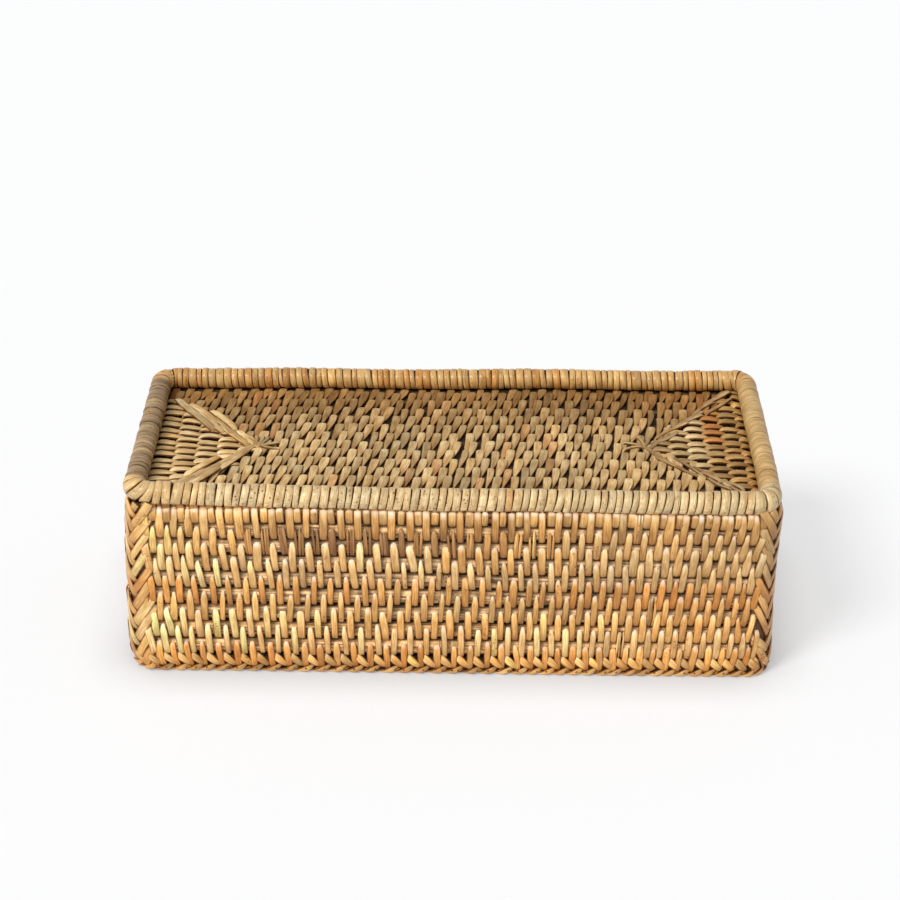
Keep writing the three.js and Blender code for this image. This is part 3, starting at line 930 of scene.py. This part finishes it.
for corner, (x_end, y_end) in MITRE_END.items():
    mitre = Weave()
    left, front = x_end < 0, y_end < 0
    x_apex, y_apex = APEX["left" if left else "right"]
    apex = np.array([math.copysign(x_apex, x_end), y_apex])
    stretch = np.array([x_end, y_end]) - apex
    way, run = unit(stretch), math.hypot(*stretch)
    across = np.array([-way[1], way[0]])
    lanes = mitre_lanes(left, run)
    # A dark strip fills the groove below the others, as painted shade.
    base_strip(mitre, apex, apex + way * (run + 4), 10.0, np.full(len(ALONG), -2.8), False, 0.5 * UMBER)
    for number, (off, begin, length, wide, tone) in enumerate(lanes):
        close = min(begin + length, run + 6)
        twist = (0.9 if front else -2.3) + jitter(0.5) if left else jitter(1.0)
        start = apex + way * close + across * (off + twist)
        end = apex + way * begin + across * (off - twist)
        lift = BAND_LIFT + 0.2 * number * (1 if left else 0.5)
        arc = jitter(0.5 if left else 1.2)
        base_strip(mitre, start, end, BAND_W * wide, lift, False, tone, arc)
    for angle in np.radians(LOOSE_ENDS[corner]):
        tip = apex + LOOSE_LENGTH * np.array([math.cos(angle), math.sin(angle)])
        tone = vary(0.8 * OLIVE, 0.14, 0.03)
        foot = apex + jitter(0.5, 2)
        base_strip(mitre, tip, foot, 0.42 * BAND_W, BAND_LIFT + 0.5, False, tone, arc=0.8)
    mitre.build("base_mitre_strips_" + corner, BASE_CANE, ["base_mitre_" + corner])

# Upright corners: strips from both faces meet in a V over every course

CORNER_SHIFT = {"front_right": 1.3, "back_right": 1.2, "back_left": 1.3, "front_left": 1.2}
PLAIT_T = np.linspace(1, 0, 15)
PLAIT_LIFT = np.interp(PLAIT_T, [0, 0.06, 0.16, 0.6, 0.9, 1.0], [-0.9, 0.1, 0.55, 0.6, 0.2, -1.0])
PLAIT_W = np.interp(PLAIT_T, [0, 0.1, 0.9, 1], [0.7, 1, 1, 0.7])
PLAIT_PITCH = 8.6

for corner, s_mid in corners_of(*OUTER).items():
    plait = Weave()
    s_mid += CORNER_SHIFT[corner]
    # Dark strips line the corner behind the plait, as painted shade in its gaps.
    for off in np.arange(-7.5, 7.6, 3.0):
        zs = np.linspace(TOP_Z - 1, 6, 8)
        p, normal = wall_point(OUTER, False, np.full(8, s_mid + off), zs, np.full(8, -1.0))
        plait.strip(p, normal, 3.3, 0.6, UMBER, 0.1, PLAIN_START)
    for course in range(-3, 11):
        row = int(np.clip(RIM_ROW - course, 0, RIM_ROW))
        for hand in (1, -1):
            zs = 4.0 + course * PLAIT_PITCH + hand * 1.6 + jitter(0.5)
            zs = zs + (16.5 + jitter(2.2)) * PLAIT_T
            s = s_mid + hand * (-1.0 + 8.8 * PLAIT_T ** 0.9) + jitter(0.5)
            lift = PLAIT_LIFT + 0.12 * hand
            keep = (zs < TOP_Z + 1) & (zs > 2.5)
            if keep.sum() < 4:
                continue
            p, normal = wall_point(OUTER, False, s[keep], zs[keep], lift[keep])
            tone = 0.75 * row_tone(row, -120.0 if "left" in corner else 120.0, 0) + 0.25 * CREAM
            width = (4.2 + jitter(0.35)) * PLAIT_W[keep]
            plait.strip(p, normal, width, 0.85, tone, WALL_CROWN, PLAIN_START)
    plait.build("corner_strips_" + corner, WALL_CANE, ["corner_plait_" + corner])

# Rim: two sets of strips cross under the rim rod and show as slanted leaves on its faces

RIM_PITCH = 7.2

# Leaves on the face of the rim and, below them, on its edge, where they turn to face downwards
LEAF = np.linspace(0, 1, 13)
FACE_RUN = np.interp(LEAF, [0, 0.5, 1], [1.2, 4.4, 7.6])
FACE_Z = np.interp(LEAF, [0, 0.2, 0.5, 0.8, 1.0], [8.9, 7.9, 6.2, 4.5, 3.5])
FACE_LIFT = np.interp(LEAF, [0, 0.1, 0.3, 0.6, 0.85, 1.0], [-0.9, 0.2, 0.75, 0.9, 0.3, -1.0])
FACE_W = np.interp(LEAF, [0, 0.12, 0.35, 0.7, 1], [2.4, 3.5, 3.9, 3.0, 1.6])
EDGE_RUN = np.interp(LEAF, [0, 0.5, 1], [1.0, 6.2, 12.0])
EDGE_Z = np.interp(LEAF, [0, 0.3, 0.65, 1.0], [1.2, 1.1, 1.8, 3.7])
EDGE_LIFT = np.interp(LEAF, [0, 0.25, 0.5, 0.75, 0.9, 1.0], [-3.0, -0.3, 0.6, 0.75, 0.4, -0.6])
EDGE_W = np.interp(LEAF, [0, 0.2, 0.7, 0.9, 1], [1.4, 2.4, 2.8, 2.2, 1.2])
EDGE_TURN = np.interp(LEAF, [0.2, 0.7], [1.6, 0.0])


def rim_places(path, inward):
    """Places of the leaves: below each stitch of the last row, and between them where there is room."""
    turn = ring_length(*path)
    marks = [middle + row_places(half, inward, RIM_ROW) for middle, half in faces_of(*path).values()]
    marks = np.sort(np.mod(np.concatenate(marks), turn))
    marks = np.append(marks, marks[0] + turn)
    places = []
    for a, b in zip(marks[:-1], marks[1:]):
        places.append(np.linspace(a, b, max(round((b - a) / RIM_PITCH), 1), endpoint=False))
    return np.concatenate(places)


rim = Weave()
for path, inward, hand in ((OUTER, False, 1), (INNER, True, -1)):
    for place in rim_places(path, inward):
        s = place + hand * FACE_RUN + jitter(0.25)
        p, normal = wall_point(path, inward, s, FACE_Z, FACE_LIFT)
        tone = vary(0.35 * AMBER + 0.65 * STRAW, 0.2, 0.06)
        rim.strip(p, normal, FACE_W, THIN, tone, WALL_CROWN)
        s = place + hand * EDGE_RUN + jitter(0.3)
        p, normal = wall_point(path, inward, s, EDGE_Z, EDGE_LIFT)
        normal[:, 2] -= EDGE_TURN
        tone = vary(0.2 * AMBER + 0.5 * STRAW + 0.3 * CREAM, 0.14, 0.05)
        rim.strip(p, unit(normal), EDGE_W, THIN, tone, WALL_CROWN)
# Slanted strips close the underside.
for place in np.arange(0, ring_length(*MIDDLE), 4.6):
    t = np.linspace(-1, 1, 9)
    at, out = ring(place + 3.5 * t + jitter(0.3), *MIDDLE)
    p = np.concatenate([at + out * (3.6 * t)[:, None], (1.2 + 0.5 * t ** 2 + 1.2 * t ** 6)[:, None]], 1)
    tone = vary(0.3 * AMBER + 0.6 * STRAW, 0.16, 0.05)
    rim.strip(p, [0.0, 0.0, -1.0], 3.4, THIN, tone, WALL_CROWN, PLAIN_START)
rim.build("rim_strips", WALL_CANE, ["rim_plait"])

# Handle slots: turns over the cut ends at both sides, and over the rods above and below

SLOT_OUT, SLOT_IN = OUTER[0], INNER[0]
SLOT_MIDDLE = (SLOT_OUT + SLOT_IN) / 2
END_TURNS = 6


def round_edge(proud, levels, edge_level):
    """Points from the outer face of the wall round an edge to the inner face.

    proud is how far the points stand out from a face, levels how high or far along they are there.
    """
    proud, levels = np.array(proud), np.array(levels)
    x = np.concatenate([SLOT_OUT + proud, [SLOT_MIDDLE], (SLOT_IN - proud)[::-1]])
    return np.stack([x, np.concatenate([levels, [edge_level], levels[::-1]])], -1)


def slot_edge(weave, sx, y, z_edge, sign, tone):
    """A strip over the course above the slot, where sign is 1, or below it."""
    z_far = z_edge + sign * PITCH
    levels = [z_far, z_far - sign * 0.9, z_far - sign * 3.0, z_edge + sign * 2.2, z_edge + sign * 0.55]
    pts = round_edge([-1.6, 0.3, 0.45, 0.35, -0.6], levels, z_edge + sign * 0.25)
    way = unit(pts - np.array([SLOT_MIDDLE, z_edge + sign * 4.4]))
    p = np.stack([sx * pts[:, 0], np.full(len(pts), y), pts[:, 1]], -1)
    normal = np.stack([sx * way[:, 0], np.zeros(len(pts)), way[:, 1]], -1)
    weave.strip(p, normal, 3.1 + jitter(0.15), THIN, tone)


def slot_turn(weave, sx, sy, z):
    """A strip round the end of the cut courses beside the slot."""
    levels = [POST_END + 1.2, POST_END, SLOT_HALF + 3.5, SLOT_HALF + 1.4, SLOT_HALF + 0.75]
    pts = round_edge([-1.0, 0.4, 0.5, 0.3, -0.8], levels, SLOT_HALF + 0.6)
    way = unit(pts - np.array([SLOT_MIDDLE, SLOT_HALF + 5.5]))
    p = np.stack([sx * pts[:, 0], sy * pts[:, 1], z + np.linspace(-0.4, 0.4, len(pts))], -1)
    normal = np.stack([sx * way[:, 0], sy * way[:, 1], np.zeros(len(pts))], -1)
    weave.strip(p, normal, 2.85 + jitter(0.1), THIN, vary(STRAW, 0.1, 0.04))


edges = Weave()
for sx in (-1, 1):
    for z_edge, way, row in ((SLOT_TOP, 1, SLOT_ROWS[0]), (SLOT_LOW, -1, SLOT_ROWS[-1])):
        for y in np.arange(-SLOT_HALF - 4, SLOT_HALF + 4.1, 3.9):
            slot_edge(edges, sx, y + jitter(0.15), z_edge, way, row_tone(row, y, 2.0 * sx))
edges.build("slot_edges", WALL_CANE)

for sx, end_name in ((-1, "left"), (1, "right")):
    for sy, side_name in ((-1, "front"), (1, "back")):
        binding = Weave()
        for k in range(END_TURNS):
            slot_turn(binding, sx, sy, SLOT_LOW + (k + 0.5) * (SLOT_TOP - SLOT_LOW) / END_TURNS)
        corner = f"{side_name}_{end_name}"
        binding.build("slot_turns_" + corner, WALL_CANE, ["slot_binding_" + corner])

# Floor, light and camera

FLOOR_HALF = 6.0
FLOOR_TONE = (0.925, 0.93, 0.94, 1)
BACKDROP_TONE = (0.965, 0.968, 0.972, 1)
# Share of plain backdrop in the floor's look, and reach of the painted soft shadow at the contact
PLAIN_SHARE = 0.6
CONTACT_REACH = 0.03
# The world's strength for the light on the object and for the eye
LIGHT_LEVEL, EYE_LEVEL = 0.4, 0.97

# The camera that was fitted to the photo, in mm and degrees
CAMERA_AT = np.array([2.4, -1017.365, 603.471])
CAMERA_TURN, CAMERA_TILT, CAMERA_ROLL = 0.285, 27.015, 0.42
CAMERA_SENSOR, CAMERA_LENS = 36.0, 95.7


def seen_by_eye(tree):
    """1 for rays from the camera, or by way of a mirror or glass, 0 for those that light the object."""
    path = wire(tree, "LightPath").outputs
    direct = maths(tree, "MAXIMUM", path["Is Camera Ray"], path["Is Glossy Ray"])
    return maths(tree, "MAXIMUM", direct, path["Is Transmission Ray"])


def turned(turn, tilt, roll=0.0):
    """A rotation by roll about Z, then by tilt about X and by turn about Z, in degrees."""
    steps = [Matrix.Rotation(math.radians(angle), 4, axis) for angle, axis in zip((turn, tilt, roll), "ZXZ")]
    return steps[0] @ steps[1] @ steps[2]


def sun_light(name, energy, angle, tilt, turn):
    """A sun of a given size, tilted from straight down and turned about Z, in degrees."""
    data = bpy.data.lights.new(name, "SUN")
    data.energy = energy
    data.angle = math.radians(angle)
    put(name, data).matrix_world = turned(turn, tilt)


floor_mesh = bpy.data.meshes.new("floor")
floor_corners = FLOOR_HALF * np.array([[-1, -1, 0], [1, -1, 0], [1, 1, 0], [-1, 1, 0]])
floor_mesh.from_pydata(floor_corners.tolist(), [], [(0, 1, 2, 3)])
floor_look, floor_tree, floor_shader = nodes_of("floor")
connect(floor_tree, floor_shader, {"Base Color": FLOOR_TONE, "Roughness": 0.8})
part_seen = times(floor_tree, seen_by_eye(floor_tree), PLAIN_SHARE)
# Near the basket the plain backdrop is darkened by occlusion: a painted contact shadow.
contact = wire(floor_tree, "AmbientOcclusion", {"Distance": CONTACT_REACH}).outputs["AO"]
pale = span(floor_tree, contact, 0.45, 0.97, 0.55, 1.0)
plain = wire(floor_tree, "Emission", {"Color": BACKDROP_TONE, "Strength": pale}).outputs[0]
floor_mix = wire(floor_tree, "MixShader", {0: part_seen, 1: floor_shader.outputs[0], 2: plain})
connect(floor_tree, floor_tree.nodes["Material Output"], {"Surface": floor_mix.outputs[0]})
floor_mesh.materials.append(floor_look)
floor = put("floor", floor_mesh)

world = bpy.data.worlds.new("studio")
scene.world = world
world.use_nodes = True
sky = world.node_tree
level = span(sky, seen_by_eye(sky), 0.0, 1.0, LIGHT_LEVEL, EYE_LEVEL)
connect(sky, sky.nodes["Background"], {"Color": (1.0, 1.0, 1.0, 1), "Strength": level})
sun_light("key", energy=2.3, angle=20, tilt=44, turn=-44)
sun_light("glint", energy=0.6, angle=20, tilt=42, turn=-12)

camera_data = bpy.data.cameras.new("camera")
camera_data.sensor_width = CAMERA_SENSOR
camera_data.lens = CAMERA_LENS
camera = put("camera", camera_data)
camera_turn = turned(CAMERA_TURN, 90 - CAMERA_TILT, CAMERA_ROLL)
camera.matrix_world = Matrix.Translation(CAMERA_AT / 1000) @ camera_turn
scene.camera = camera
scene.view_settings.view_transform = "Standard"
